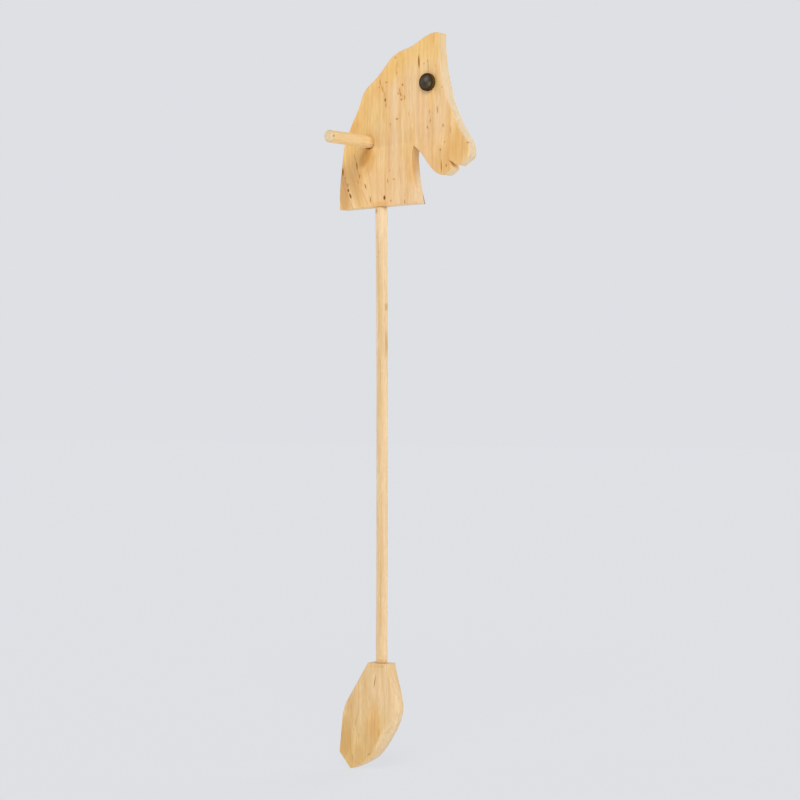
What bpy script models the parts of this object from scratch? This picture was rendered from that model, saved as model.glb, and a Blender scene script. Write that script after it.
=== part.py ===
"""Hobby horse: a sawn head on a long stick, a hand grip through the neck, and a bevelled foot.

Metres. +Z runs up along the stick, +X points to the muzzle, and Y runs across the boards.
The origin is the middle of the hand grip, where a rider holds the toy.
"""

import math

import bmesh
import bpy
from mathutils import Vector

MM = 0.001

# Clearances
GLUE_GAP = 0.0003
SEAT_GAP = 0.0003

# Head board
HEAD_THICKNESS = 0.020
HEAD_EASING = 0.0014
HEAD_EDGE_FULLNESS = 1.5
NECK_BASE_BACK_X = -0.0544
NECK_BASE_BACK_Z = -0.0958
NECK_BASE_FRONT_X = 0.0874
NECK_BASE_FRONT_Z = -0.0922

# Stick
STICK_X = 0.0155
STICK_LENGTH = 0.6640
STICK_TOP_DIAMETER = 0.0178
STICK_FOOT_DIAMETER = 0.0169
STICK_SHOULDER_EASING = 0.0005
TENON_DIAMETER = 0.0120
NECK_TENON_LENGTH = 0.0380
FOOT_TENON_LENGTH = 0.0340
TENON_CHAMFER = 0.0010

# Hand grip
GRIP_DIAMETER = 0.0180
GRIP_LENGTH = 0.2140
GRIP_CHAMFER = 0.0020

# Eyes
EYE_X = 0.1060
EYE_Z = 0.0800
EYE_DIAMETER = 0.0256
EYE_RIM_HEIGHT = 0.0056
EYE_CROWN_HEIGHT = 0.0068
EYE_RIM_ROUNDING = 0.0014
EYE_RIM_TURN = math.radians(55.0)
EYE_STEM_DIAMETER = 0.0060
EYE_HOLE_WEB = 0.0034

# Foot board
FOOT_THICKNESS = 0.020
FOOT_EASING = 0.0008
FOOT_TOP_WIDTH = 0.0354
FOOT_BEVEL_RISE = 0.45
FOOT_EDGE_FULLNESS = 1.15

# Smoothness of the curves. An edge's fullness is 1 for a flat bevel and 2 for a quarter round
CURVE_STEP = 0.0045
ROUND_SIDES = 48
EDGE_STEPS = 3
DOME_STEPS = 8
RIM_STEPS = 4
SHARP_TURN = math.radians(32.0)
CUTTER_OVERRUN = 0.003

# Where the stick's shoulder meets the neck, whose base is cut a little out of square
NECK_BASE_SLOPE = (NECK_BASE_FRONT_Z - NECK_BASE_BACK_Z) / (NECK_BASE_FRONT_X - NECK_BASE_BACK_X)
NECK_AXIS_Z = NECK_BASE_BACK_Z + NECK_BASE_SLOPE * (STICK_X - NECK_BASE_BACK_X)
NECK_SEAT_Z = NECK_AXIS_Z - abs(NECK_BASE_SLOPE) * 0.5 * STICK_TOP_DIAMETER

# Head outline, in millimetres from the middle of the grip. Stretches meet at sharp corners,
# two points make a straight line, and more points make one smooth curve.
NECK_BASE_BACK = (NECK_BASE_BACK_X / MM, NECK_BASE_BACK_Z / MM)
NECK_BASE_FRONT = (NECK_BASE_FRONT_X / MM, NECK_BASE_FRONT_Z / MM)
FORELOCK_TIP = (124.0, 150.2)
THROAT_CORNER = (79.2, -8.7)
LOWER_LIP = (147.3, -43.4)
UPPER_LIP = (157.2, -41.9)

CREST_AND_MANE = (
    FORELOCK_TIP,
    (119.0, 151.1),
    (109.0, 149.8),
    (97.0, 145.3),
    (78.4, 135.8),
    (51.0, 127.5),
    (39.6, 121.1),
    (29.3, 110.5),
    (19.0, 99.7),
    (8.6, 90.4),
    (0.0, 84.2),
    (-9.6, 74.5),
    (-20.2, 51.0),
    (-31.6, 30.0),
    (-45.2, -1.0),
    (-49.6, -26.0),
    (-53.3, -58.0),
    (-54.4, -76.0),
    NECK_BASE_BACK,
)
NECK_BASE = (NECK_BASE_BACK, NECK_BASE_FRONT)
NECK_FRONT = (NECK_BASE_FRONT, (83.7, -76.0), (79.3, -53.5), (77.1, -36.0), (76.7, -20.0), THROAT_CORNER)
JAW_AND_CHIN = (
    THROAT_CORNER,
    (92.6, -20.5),
    (101.2, -31.8),
    (109.3, -41.6),
    (117.7, -49.2),
    (127.0, -53.5),
    (135.8, -53.6),
    (143.0, -49.8),
    (147.4, -46.0),
    LOWER_LIP,
)
MOUTH_FLOOR = (LOWER_LIP, (143.8, -36.6))
MOUTH_CORNER = ((143.8, -36.6), (143.3, -35.7), (143.6, -34.9), (144.4, -34.9))
MOUTH_ROOF = ((144.4, -34.9), (149.2, -38.2), (153.4, -40.6), UPPER_LIP)
LIP_AND_NOSE = (
    UPPER_LIP,
    (163.9, -38.4),
    (170.0, -34.9),
    (174.7, -31.0),
    (176.4, -25.2),
    (176.4, -17.2),
    (174.9, -11.2),
    (168.4, -1.4),
    (160.3, 10.6),
    (148.2, 34.0),
    (140.0, 53.0),
    (133.8, 75.5),
    (129.0, 94.0),
    (125.9, 116.0),
    (124.0, 134.0),
    FORELOCK_TIP,
)
HEAD_OUTLINE = (
    CREST_AND_MANE,
    NECK_BASE,
    NECK_FRONT,
    JAW_AND_CHIN,
    MOUTH_FLOOR,
    MOUTH_CORNER,
    MOUTH_ROOF,
    LIP_AND_NOSE,
)

# Foot outline, in millimetres from the middle of its top edge. A third number is how far the
# bevel reaches in from the outline over each side face; elsewhere the edge is only eased.
FOOT_TOP_BACK = (-0.5 * FOOT_TOP_WIDTH / MM, 0.0)
FOOT_TOP_FRONT = (0.5 * FOOT_TOP_WIDTH / MM, 0.0)
FOOT_HEEL = (-70.4, -134.6)
FOOT_TIP = (-50.0, -158.0)

FOOT_TOP = (FOOT_TOP_FRONT, FOOT_TOP_BACK)
FOOT_BACK = (
    FOOT_TOP_BACK,
    (-39.5, -33.0),
    (-58.6, -62.9),
    (-63.3, -75.0),
    (-66.3, -98.0),
    FOOT_HEEL,
)
FOOT_HEEL_CUT = (FOOT_HEEL, FOOT_TIP)
FOOT_FRONT = (
    FOOT_TIP,
    (-37.0, -153.0, 1.2),
    (-22.0, -146.0, 2.6),
    (-9.0, -138.0, 5.2),
    (4.4, -125.9, 10.5),
    (15.7, -112.2, 14.5),
    (23.8, -99.6, 14.0),
    (29.9, -87.4, 12.5),
    (34.3, -75.4, 12.0),
    (36.0, -64.5, 10.8),
    (33.7, -52.1, 8.8),
    (28.8, -35.0, 6.6),
    (23.0, -18.0, 4.4),
    FOOT_TOP_FRONT,
)
FOOT_OUTLINE = (FOOT_TOP, FOOT_BACK, FOOT_HEEL_CUT, FOOT_FRONT)

# Colours of the woods and of the dark eyes
PINE_HEAD = (0.775, 0.520, 0.275)
PINE_STICK = (0.810, 0.560, 0.300)
PINE_GRIP = (0.840, 0.600, 0.310)
PINE_FOOT = (0.720, 0.470, 0.215)
DARK_BROWN = (0.070, 0.052, 0.034)
WOOD_ROUGHNESS = 0.6
EYE_ROUGHNESS = 0.3


def clear_scene():
    """Remove every object that the new file starts with."""
    for item in list(bpy.data.objects):
        bpy.data.objects.remove(item, do_unlink=True)


def make_material(name, colour, roughness):
    """A plain Principled material."""
    material = bpy.data.materials.new(name)
    material.use_nodes = True
    shader = material.node_tree.nodes["Principled BSDF"]
    shader.inputs["Base Color"].default_value = (*colour, 1.0)
    shader.inputs["Roughness"].default_value = roughness
    shader.inputs["Metallic"].default_value = 0.0
    return material


def smooth_curve(knots):
    """Points of one smooth curve through the knots, a step of CURVE_STEP apart."""
    first = knots[0] * 2.0 - knots[1]
    last = knots[-1] * 2.0 - knots[-2]
    guide = [first, *knots, last]
    points = [knots[0].copy()]
    for index in range(1, len(guide) - 2):
        before, start, end, after = guide[index - 1:index + 3]
        arriving = math.sqrt((start.xy - before.xy).length)
        span = math.sqrt((end.xy - start.xy).length)
        leaving = math.sqrt((after.xy - end.xy).length)
        chord = (end - start) / span
        start_slope = (start - before) / arriving - (end - before) / (arriving + span) + chord
        end_slope = chord - (after - start) / (span + leaving) + (after - end) / leaving
        steps = max(2, round((end.xy - start.xy).length / CURVE_STEP))
        for step in range(1, steps + 1):
            t = step / steps
            rise = t * t * (3.0 - 2.0 * t)
            bend = span * (t * (1.0 - t) ** 2 * start_slope - t * t * (1.0 - t) * end_slope)
            points.append(start + (end - start) * rise + bend)
    return points


def trace(stretches, easing):
    """The closed outline as vectors (x, z, edge width), each corner once."""
    outline = []
    for stretch in stretches:
        knots = []
        for x, z, *bevel in stretch:
            width = bevel[0] * MM if bevel else easing
            knots.append(Vector((x * MM, z * MM, width)))
        points = smooth_curve(knots) if len(knots) > 2 else knots
        outline.extend(points[:-1])
    return outline


def inward_directions(outline):
    """For each outline point, the direction into the board, lengthened at corners as a mitre is."""
    area = sum(a.x * b.y - b.x * a.y for a, b in zip(outline, outline[1:] + outline[:1]))
    side = 1.0 if area > 0.0 else -1.0
    directions = []
    for index, point in enumerate(outline):
        arriving = (point.xy - outline[index - 1].xy).normalized()
        leaving = (outline[(index + 1) % len(outline)].xy - point.xy).normalized()
        turn = (arriving + leaving).normalized()
        mitre = min(1.6, 1.0 / max(0.1, turn.dot(arriving)))
        directions.append(Vector((-turn.y, turn.x)) * side * mitre)
    return directions


def edge_section(fullness):
    """Shares of width and depth left from the side face to the outer edge, over a bevelled edge."""
    power = 2.0 / fullness
    section = []
    for step in range(EDGE_STEPS + 1):
        angle = 0.5 * math.pi * step / EDGE_STEPS
        section.append((1.0 - math.sin(angle) ** power, 1.0 - math.cos(angle) ** power))
    return section


def make_board(name, stretches, thickness, easing, bevel_rise, fullness, material):
    """A flat board cut to an outline, its edges bevelled alike towards both side faces."""
    outline = trace(stretches, easing)
    inward = inward_directions(outline)
    bm = bmesh.new()
    rings = []
    for side in (-1.0, 1.0):
        section = edge_section(fullness) if side < 0.0 else reversed(edge_section(fullness))
        for width_share, depth_share in section:
            ring = []
            for point, direction in zip(outline, inward):
                depth = max(min(point.z, easing), bevel_rise * point.z)
                place = point.xy + direction * point.z * width_share
                ring.append(bm.verts.new((place.x, side * (0.5 * thickness - depth * depth_share), place.y)))
            rings.append(ring)
    for lower, upper in zip(rings, rings[1:]):
        for index in range(len(outline)):
            following = (index + 1) % len(outline)
            bm.faces.new((lower[index], lower[following], upper[following], upper[index]))
    bm.faces.new(rings[0])
    bm.faces.new(rings[-1])
    bmesh.ops.recalc_face_normals(bm, faces=bm.faces)
    return add_object(name, bm, material)


def make_turned(name, profile, material):
    """A turned piece about its own Z axis; the profile's ends lie on the axis."""
    bm = bmesh.new()
    verts = [bm.verts.new((radius, 0.0, height)) for radius, height in profile]
    edges = [bm.edges.new(pair) for pair in zip(verts, verts[1:])]
    bmesh.ops.spin(
        bm,
        geom=verts + edges,
        cent=(0.0, 0.0, 0.0),
        axis=(0.0, 0.0, 1.0),
        angle=2.0 * math.pi,
        steps=ROUND_SIDES,
        use_merge=True,
    )
    bmesh.ops.remove_doubles(bm, verts=bm.verts, dist=0.000001)
    bmesh.ops.recalc_face_normals(bm, faces=bm.faces)
    return add_object(name, bm, material)


def add_object(name, bm, material):
    """Turn a finished bmesh into an object with smooth faces and crisp corners."""
    mesh = bpy.data.meshes.new(name)
    bm.to_mesh(mesh)
    bm.free()
    mesh.shade_smooth()
    mesh.set_sharp_from_angle(angle=SHARP_TURN)
    mesh.materials.append(material)
    item = bpy.data.objects.new(name, mesh)
    bpy.context.scene.collection.objects.link(item)
    return item


def drill(board, name, diameter, start, end):
    """Drill a round hole in a board from one point to another, with a hidden cutter."""
    axis = end - start
    bm = bmesh.new()
    bmesh.ops.create_cone(
        bm,
        cap_ends=True,
        segments=ROUND_SIDES,
        radius1=0.5 * diameter,
        radius2=0.5 * diameter,
        depth=axis.length,
    )
    mesh = bpy.data.meshes.new(name)
    bm.to_mesh(mesh)
    bm.free()
    cutter = bpy.data.objects.new(name, mesh)
    bpy.context.scene.collection.objects.link(cutter)
    cutter.location = 0.5 * (start + end)
    cutter.rotation_mode = "QUATERNION"
    cutter.rotation_quaternion = axis.to_track_quat("Z", "Y")
    cutter.parent = board
    cutter.hide_render = True
    cutter.display_type = "WIRE"
    cut = board.modifiers.new(name, "BOOLEAN")
    cut.operation = "DIFFERENCE"
    cut.solver = "EXACT"
    cut.object = cutter


def make_head_board(wood):
    """Head and neck in one board, drilled for the grip, the stick and the two eye stems."""
    head = make_board(
        "head_board",
        HEAD_OUTLINE,
        HEAD_THICKNESS,
        HEAD_EASING,
        0.0,
        HEAD_EDGE_FULLNESS,
        wood,
    )
    out = 0.5 * HEAD_THICKNESS + CUTTER_OVERRUN
    grip_hole = GRIP_DIAMETER + 2.0 * GLUE_GAP
    drill(head, "grip_hole_cutter", grip_hole, Vector((0.0, -out, 0.0)), Vector((0.0, out, 0.0)))
    below = Vector((STICK_X, 0.0, NECK_SEAT_Z - CUTTER_OVERRUN))
    socket_end = Vector((STICK_X, 0.0, NECK_SEAT_Z + NECK_TENON_LENGTH + GLUE_GAP))
    drill(head, "neck_socket_cutter", TENON_DIAMETER + 2.0 * GLUE_GAP, below, socket_end)
    for name, side in (("right_eye_hole_cutter", -1.0), ("left_eye_hole_cutter", 1.0)):
        mouth = Vector((EYE_X, side * out, EYE_Z))
        bottom = Vector((EYE_X, side * 0.5 * EYE_HOLE_WEB, EYE_Z))
        drill(head, name, EYE_STEM_DIAMETER + 2.0 * GLUE_GAP, mouth, bottom)
    return head


def make_stick(wood):
    """A long rod, a little thinner towards the foot, with a shouldered tenon at each end."""
    top = 0.5 * STICK_TOP_DIAMETER
    foot = 0.5 * STICK_FOOT_DIAMETER
    tenon = 0.5 * TENON_DIAMETER
    neck_end = NECK_TENON_LENGTH - SEAT_GAP
    foot_end = -STICK_LENGTH - FOOT_TENON_LENGTH + SEAT_GAP
    profile = [
        (0.0, neck_end),
        (tenon - TENON_CHAMFER, neck_end),
        (tenon, neck_end - TENON_CHAMFER),
        (tenon, 0.0),
        (top - STICK_SHOULDER_EASING, 0.0),
        (top, -STICK_SHOULDER_EASING),
        (foot, -STICK_LENGTH + STICK_SHOULDER_EASING),
        (foot - STICK_SHOULDER_EASING, -STICK_LENGTH),
        (tenon, -STICK_LENGTH),
        (tenon, foot_end + TENON_CHAMFER),
        (tenon - TENON_CHAMFER, foot_end),
        (0.0, foot_end),
    ]
    stick = make_turned("stick", profile, wood)
    stick.location = (STICK_X, 0.0, NECK_SEAT_Z - SEAT_GAP)
    return stick


def make_hand_grip(wood):
    """A straight rod through the neck, its two ends chamfered."""
    radius = 0.5 * GRIP_DIAMETER
    half = 0.5 * GRIP_LENGTH
    profile = [
        (0.0, half),
        (radius - GRIP_CHAMFER, half),
        (radius, half - GRIP_CHAMFER),
        (radius, -half + GRIP_CHAMFER),
        (radius - GRIP_CHAMFER, -half),
        (0.0, -half),
    ]
    grip = make_turned("hand_grip", profile, wood)
    grip.rotation_euler = (math.radians(90.0), 0.0, 0.0)
    return grip


def eye_profile():
    """Half section of an eye button: a thick rim rounded at its edge, a low dome and a stem."""
    radius = 0.5 * EYE_DIAMETER
    stem = 0.5 * EYE_STEM_DIAMETER
    stem_end = -(0.5 * HEAD_THICKNESS - 0.5 * EYE_HOLE_WEB)
    dome = EYE_CROWN_HEIGHT - EYE_RIM_HEIGHT
    shoulder = radius - EYE_RIM_ROUNDING
    profile = []
    for step in range(DOME_STEPS):
        share = step / DOME_STEPS
        profile.append((shoulder * share, EYE_RIM_HEIGHT + dome * (1.0 - share ** 2)))
    for step in range(RIM_STEPS + 1):
        angle = EYE_RIM_TURN * (1.0 - step / RIM_STEPS)
        across = EYE_RIM_ROUNDING * (1.0 - math.cos(angle))
        down = EYE_RIM_ROUNDING * math.sin(angle)
        profile.append((radius - across, EYE_RIM_HEIGHT - EYE_RIM_ROUNDING + down))
    profile.append((radius, 0.0))
    profile.append((stem, 0.0))
    profile.append((stem, stem_end))
    profile.append((0.0, stem_end))
    return profile


def make_eye(name, side, finish):
    """One eye button, its stem in the blind hole of its cheek."""
    eye = make_turned(name, eye_profile(), finish)
    eye.location = (EYE_X, side * (0.5 * HEAD_THICKNESS + SEAT_GAP), EYE_Z)
    eye.rotation_euler = (math.radians(-90.0 * side), 0.0, 0.0)
    return eye


def make_foot_board(wood):
    """A leaf-shaped board under the stick, bevelled along its front, drilled in its top edge."""
    foot = make_board(
        "foot_board",
        FOOT_OUTLINE,
        FOOT_THICKNESS,
        FOOT_EASING,
        FOOT_BEVEL_RISE,
        FOOT_EDGE_FULLNESS,
        wood,
    )
    above = Vector((0.0, 0.0, CUTTER_OVERRUN))
    socket_end = Vector((0.0, 0.0, -FOOT_TENON_LENGTH - GLUE_GAP))
    drill(foot, "foot_socket_cutter", TENON_DIAMETER + 2.0 * GLUE_GAP, above, socket_end)
    foot.location = (STICK_X, 0.0, NECK_SEAT_Z - STICK_LENGTH - 2.0 * SEAT_GAP)
    return foot


def build():
    """Make the six pieces and gather them under one empty."""
    clear_scene()
    head_wood = make_material("head_wood", PINE_HEAD, WOOD_ROUGHNESS)
    stick_wood = make_material("stick_wood", PINE_STICK, WOOD_ROUGHNESS)
    grip_wood = make_material("grip_wood", PINE_GRIP, WOOD_ROUGHNESS)
    foot_wood = make_material("foot_wood", PINE_FOOT, WOOD_ROUGHNESS)
    eye_finish = make_material("eye_finish", DARK_BROWN, EYE_ROUGHNESS)
    pieces = [
        make_head_board(head_wood),
        make_stick(stick_wood),
        make_hand_grip(grip_wood),
        make_foot_board(foot_wood),
        make_eye("eye_right", -1.0, eye_finish),
        make_eye("eye_left", 1.0, eye_finish),
    ]
    toy = bpy.data.objects.new("hobby_horse", None)
    bpy.context.scene.collection.objects.link(toy)
    for piece in pieces:
        piece.parent = toy


build()
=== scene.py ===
"""Hobby horse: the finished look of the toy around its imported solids.

Every board and turned piece takes its outline from the solid that it stands for, and gets finely
rounded edges, hand-sanded surfaces and wood that is solid through and through.
Shapes are in metres and wood patterns in millimetres, both in the frame of the solids.
"""

import math

import bmesh
import bpy
from mathutils import Matrix, Vector


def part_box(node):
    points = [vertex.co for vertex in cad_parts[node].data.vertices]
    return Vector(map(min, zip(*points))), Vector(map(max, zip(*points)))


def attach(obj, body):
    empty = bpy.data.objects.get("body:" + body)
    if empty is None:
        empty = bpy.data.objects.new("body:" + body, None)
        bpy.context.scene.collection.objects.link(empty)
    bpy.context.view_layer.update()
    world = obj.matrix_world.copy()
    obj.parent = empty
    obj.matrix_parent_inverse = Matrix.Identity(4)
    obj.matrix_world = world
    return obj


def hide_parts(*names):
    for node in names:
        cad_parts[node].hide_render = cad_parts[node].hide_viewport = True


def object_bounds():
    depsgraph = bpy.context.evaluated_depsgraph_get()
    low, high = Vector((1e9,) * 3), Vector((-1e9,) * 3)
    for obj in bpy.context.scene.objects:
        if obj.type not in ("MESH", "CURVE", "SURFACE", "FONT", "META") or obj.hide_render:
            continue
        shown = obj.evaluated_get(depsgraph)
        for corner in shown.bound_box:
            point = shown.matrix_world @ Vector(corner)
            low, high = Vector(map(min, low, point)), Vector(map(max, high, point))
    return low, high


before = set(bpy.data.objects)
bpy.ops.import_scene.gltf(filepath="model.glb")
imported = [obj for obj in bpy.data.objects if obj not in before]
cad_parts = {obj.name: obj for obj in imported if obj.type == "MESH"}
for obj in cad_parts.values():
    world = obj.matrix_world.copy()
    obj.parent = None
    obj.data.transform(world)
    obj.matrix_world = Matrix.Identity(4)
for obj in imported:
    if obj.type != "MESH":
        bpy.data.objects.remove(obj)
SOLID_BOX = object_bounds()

BODY = "root"
MM = 0.001
ACROSS = Vector((0.0, 1.0, 0.0))
UPWARD = Vector((0.0, 0.0, 1.0))

# Lengths under which points count as one or as on the axis, and the room left inside a solid
SOLID_WELD = 0.01 * MM
WELD_DISTANCE = 0.002 * MM
SHORTEST_STEP = 0.02 * MM
AXIS_RADIUS = 0.1 * MM
BOX_MARGIN = 0.02 * MM

# Boards: where their solids are cut to find the outlines, and how their edges are finished
HEAD_THICKNESS = 20 * MM
HEAD_SECTION = -8.4 * MM
HEAD_EASING = 1.4 * MM
HEAD_EDGE_STEPS = 6
FOOT_SECTION = 0
FOOT_FACE_DEPTH = 0.01 * MM
FOOT_EASING = 0.8 * MM
FOOT_BEVEL_RISE = 0.45
FOOT_EDGE_STEPS = 14
HEAD_FULLNESS = 1.5
FOOT_FULLNESS = 1.15
HEAD_SEED = 3.0
FOOT_SEED = 8.0
LEAST_EASING = 0.12 * MM
OUTLINE_STEP = 1.2 * MM
CORNER_TURN = math.radians(40)
STRAIGHT_TURN = math.radians(0.12)
CORNER_WEAR = 0.8 * MM
CORNER_SHARE = 0.6
CORNER_STEPS = 4
MITRE_LIMIT = 1.6
EASING_RUN = 0.45
SUPPORT_SHARE = 0.25
EDGE_RIPPLE = 0.16 * MM
RIPPLE_LENGTH = 9 * MM
HOLE_WEAR = 0.1 * MM
DRILL_CLEARANCE = 2 * MM
DRILL_OVERLAP = 0.5 * MM
GRIP_HOLE_LEAST = 5 * MM
SHARP_TURN = math.radians(35)

# Joints between the pieces
STICK_X = 15.5 * MM
TENON_DIAMETER = 12 * MM
TENON_HOLE_RADIUS = 6.3 * MM
SOCKET_WIDENING = 1.2
NECK_TENON_LENGTH = 38 * MM
FOOT_TENON_LENGTH = 34 * MM
TENON_CHAMFER = 1 * MM
GLUE_GAP = 0.3 * MM
SEAT_GAP = 0.3 * MM

# Turned pieces
ROD_SIDES = 72
EYE_SIDES = 96
ROD_STEP = 6 * MM
EYE_STEP = 0.5 * MM
ROD_UNEVENNESS = 0.07 * MM
EYE_UNEVENNESS = 0.02 * MM
STICK_TAPER = 0.9 * MM
STICK_BOW = Vector((0.69, 0.5, 0)) * MM
STICK_WAIST = 0.25 * MM
SHOULDER_WEAR = 0.5 * MM
GRIP_CHAMFER = 2 * MM
GRIP_LIFT = 1.2 * MM
EYE_MIDDLE = (106 * MM, 80 * MM)
EYE_RIM_HEIGHT = 5.6 * MM
EYE_RIM_ROUNDING = 1.4 * MM
EYE_RIM_STEPS = 9
EYE_STEM_DIAMETER = 6 * MM
EYE_WEB = 1.7 * MM
EYE_FOOT_CHAMFER = 0.3 * MM

# The photograph's viewpoint
CAMERA_PLACE = (2.0357, -2.7349, -0.3755)
CAMERA_TURN = math.radians(36.0)
CAMERA_LENS = 104.79

# Light: the level of the room, then each lamp's name, azimuth, elevation, strength and spread
ROOM_LIGHT = 0.36
FLOOR_GLOW = 0.94
FLOOR_BOUNCE = 0.32
FLOOR_EVENNESS = 0.85
FLOOR_REACH = 20
FLOOR_DROP = 0.2 * MM
LAMPS = (
    ("key", 32, 36, 1.38, 28),
    ("side fill", 86, 0, 1.06, 36),
    ("left fill", -60, 6, 0.55, 60),
    ("back fill", 172, 24, 0.75, 40),
)

# Gloss and the depth of the relief
WOOD_GLOSS = 0.25
WOOD_RELIEF = 0.12 * MM
LACQUER_GLOSS = 0.13
LACQUER_RELIEF = 0.05 * MM

# Colours as they look in plain light, with each wood's tones in the order of WOOD_PARTS
WOOD_PARTS = ("Paler Wood", "Pinker Wood", "Golden Wood")
PALE_GREY = (0.73, 0.745, 0.776, 1)
FLOOR_WHITE = (0.9, 0.918, 0.955, 1)
HEAD_TONES = ((0.828, 0.557, 0.292, 1), (0.798, 0.503, 0.238, 1), (0.848, 0.556, 0.202, 1))
FOOT_TONES = ((0.75, 0.535, 0.295, 1), (0.705, 0.485, 0.25, 1), (0.715, 0.49, 0.2, 1))
STICK_TONES = ((0.735, 0.53, 0.306, 1), (0.705, 0.49, 0.258, 1), (0.715, 0.49, 0.23, 1))
GRIP_TONES = ((0.86, 0.64, 0.36, 1), (0.83, 0.6, 0.315, 1), (0.845, 0.605, 0.28, 1))
WOOD_PALE = (0.84, 0.627, 0.388, 1)
WOOD_EDGE = (0.725, 0.59, 0.39, 1)
WOOD_LATE = (0.66, 0.35, 0.1, 1)
WOOD_AMBER = (0.78, 0.41, 0.115, 1)
WOOD_BROWN = (0.76, 0.62, 0.43, 1)
FLECK_WARM = (0.29, 0.125, 0, 1)
LACQUER_DARK = (0.034, 0.026, 0.015, 1)
LACQUER_BROWN = (0.074, 0.057, 0.036, 1)
# Painted light on the eye buttons: a dark reflection round the rim, light on the right of the wall, a
# reflection low on the right and a highlight
LACQUER_RIM_REFLECTION = (0.042, 0.018, 0.002, 1)
LACQUER_LIT_WALL = (0.082, 0.042, 0.01, 1)
LACQUER_REFLECTION = (0.19, 0.155, 0.08, 1)
LACQUER_HIGHLIGHT = (0.145, 0.118, 0.12, 1)

# Marks seen on the right side of the head: x, z, half length and half width in millimetres,
# strength, and then, where a mark leans, millimetres across for each millimetre up
MARK_NUMBERS = ("X", "Z", "Half Length", "Half Width", "Strength", "Lean")
# Dark marks; the row at (144.5, -35.3) is painted shade along the deep side of the mouth slot
HEAD_FLECKS_AND_SHADE = (
    (89.5, 111, 9.5, 1.4, 0.84, -0.05), (106, 102.5, 11, 0.6, 0.45, -0.02),
    (105, 111, 1.8, 1.1, 0.36), (98.5, 107.5, 2.4, 1.2, 0.28),
    (118, 102.5, 2.2, 1.1, 0.2), (125.3, 141, 12, 0.8, 0.22),
    (48, 120.5, 1.8, 2.4, 0.3), (51.5, 110, 4.5, 0.9, 0.22),
    (50, 98, 3.2, 1.1, 0.32), (31.5, 86, 1.3, 2.6, 0.34),
    (20.5, 86.5, 5, 1.2, 0.34, -0.07), (18.5, 79.5, 1.3, 1.5, 0.39),
    (24, 77, 5, 0.8, 0.49, -0.29), (28.5, 68, 4.7, 0.8, 0.31, -0.15),
    (29.5, 60.5, 3, 1.5, 0.84), (30.5, 53, 3.5, 1.2, 0.39),
    (60.5, 80, 1.8, 1.5, 0.62), (55, 72.5, 4.2, 1, 0.39),
    (57, 66.5, 3, 1.2, 0.56, -0.39), (53, 68, 1.3, 2, 0.39),
    (64, 61.5, 4.2, 1.2, 0.39, -0.06), (58.5, 59, 1.6, 1.7, 0.62),
    (50.5, 31.5, 1.5, 2.2, 0.52), (38.5, 24.5, 3, 1.2, 0.22, -0.27),
    (71.5, 37, 3.6, 0.8, 0.21), (122, 39.5, 5.5, 1.1, 0.48, -0.08),
    (108.5, 38, 3.5, 1, 0.28), (109.5, 24.5, 3.1, 1.3, 0.37),
    (104.5, 15.5, 2.5, 1.1, 0.54), (132, 16.5, 2.8, 1.3, 0.49),
    (145, 9, 6, 1, 0.25), (134.5, -7.5, 2, 1.1, 0.34),
    (127, -18, 1.8, 1.3, 0.54), (129, -41, 8.5, 0.9, 0.65, -0.03),
    (137.5, -41, 2.5, 1.2, 0.52), (174, -10.5, 2, 1, 0.47),
    (130, 71.5, 1.9, 1.3, 0.28), (-48, -40, 6.3, 1.3, 0.95),
    (-43.5, -49, 1.6, 1.3, 0.29), (-22, -32.5, 6, 1.1, 0.81, -0.18),
    (-17, -48, 3.2, 1.3, 0.54), (-20, -55.5, 3.4, 0.8, 0.45, -0.32),
    (-38, -67.5, 2.2, 1.6, 1), (-34, -76, 3.8, 1.6, 1, -0.37),
    (-38.5, -59.5, 2.6, 1.6, 0.36), (-6.5, -63, 4, 1.2, 0.69, -0.34),
    (2.5, -83, 5, 1.1, 0.62, -0.18), (28, -81.5, 3.4, 2, 1),
    (39.5, -86.5, 1.6, 1.2, 0.52), (45, -55.5, 1.3, 1.7, 0.45),
    (37, -42.5, 1.9, 1, 0.27), (34, -57.5, 3.4, 0.9, 0.52, -0.11),
    (64, -89, 3.1, 0.9, 0.47), (144.5, -35.3, 1.7, 0.9, 0.5, -1.75),
    (-11.5, -95, 1.3, 1.2, 0.5), (-25.7, -20.2, 6.5, 0.8, 0.24, -0.5),
    (-19.2, -43.5, 6.5, 0.8, 0.24, -0.5), (-7.6, -79.5, 14, 0.9, 0.18, -0.54),
    (-43.3, -55.7, 10, 0.8, 0.2, -0.48), (-30.5, -91.5, 8, 0.9, 0.18, -0.47),
)
# Amber marks; the rows at (-6, -20) and (-18, -48) give the painted shadow of the grip on the neck its
# warm hue
HEAD_AMBER_AND_SHADOW = (
    (51, 111.5, 9, 2.2, 0.55, 0.04), (48.5, 103, 9, 1.8, 0.8),
    (18, 88, 9, 4, 0.35), (-28, 22, 16, 9, 0.55, 0.35),
    (75, 8, 14, 3, 0.55), (68, -38, 22, 3.5, 0.22, 0.05),
    (73, -52, 12, 6, 0.38), (152, -4, 34, 12, 0.33, 0.3),
    (163, -18, 24, 5, 0.3, 0.1), (112, -24, 22, 3, 0.35),
    (100, -10, 26, 2.5, 0.25), (20, -92, 6, 14, 0.7),
    (112, 144, 10, 6, 0.4), (56, 126, 7, 5, 0.4),
    (12, 72, 34, 12, 0.36, 0.5), (-14, 38, 32, 9, 0.26, 0.45),
    (46, 97, 26, 16, 0.24), (56, 68, 11, 6, 0.34, -0.2),
    (27, 70, 15, 4, 0.3, -0.22), (60, 112, 16, 15, 0.2),
    (-6, -20, 18, 11, 0.56, 0.45), (-18, -48, 20, 9, 0.36, 0.1),
    (57.5, 68, 9, 2, 0.6, -0.45), (25, 78, 10, 1.8, 0.6, -0.25),
)
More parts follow.
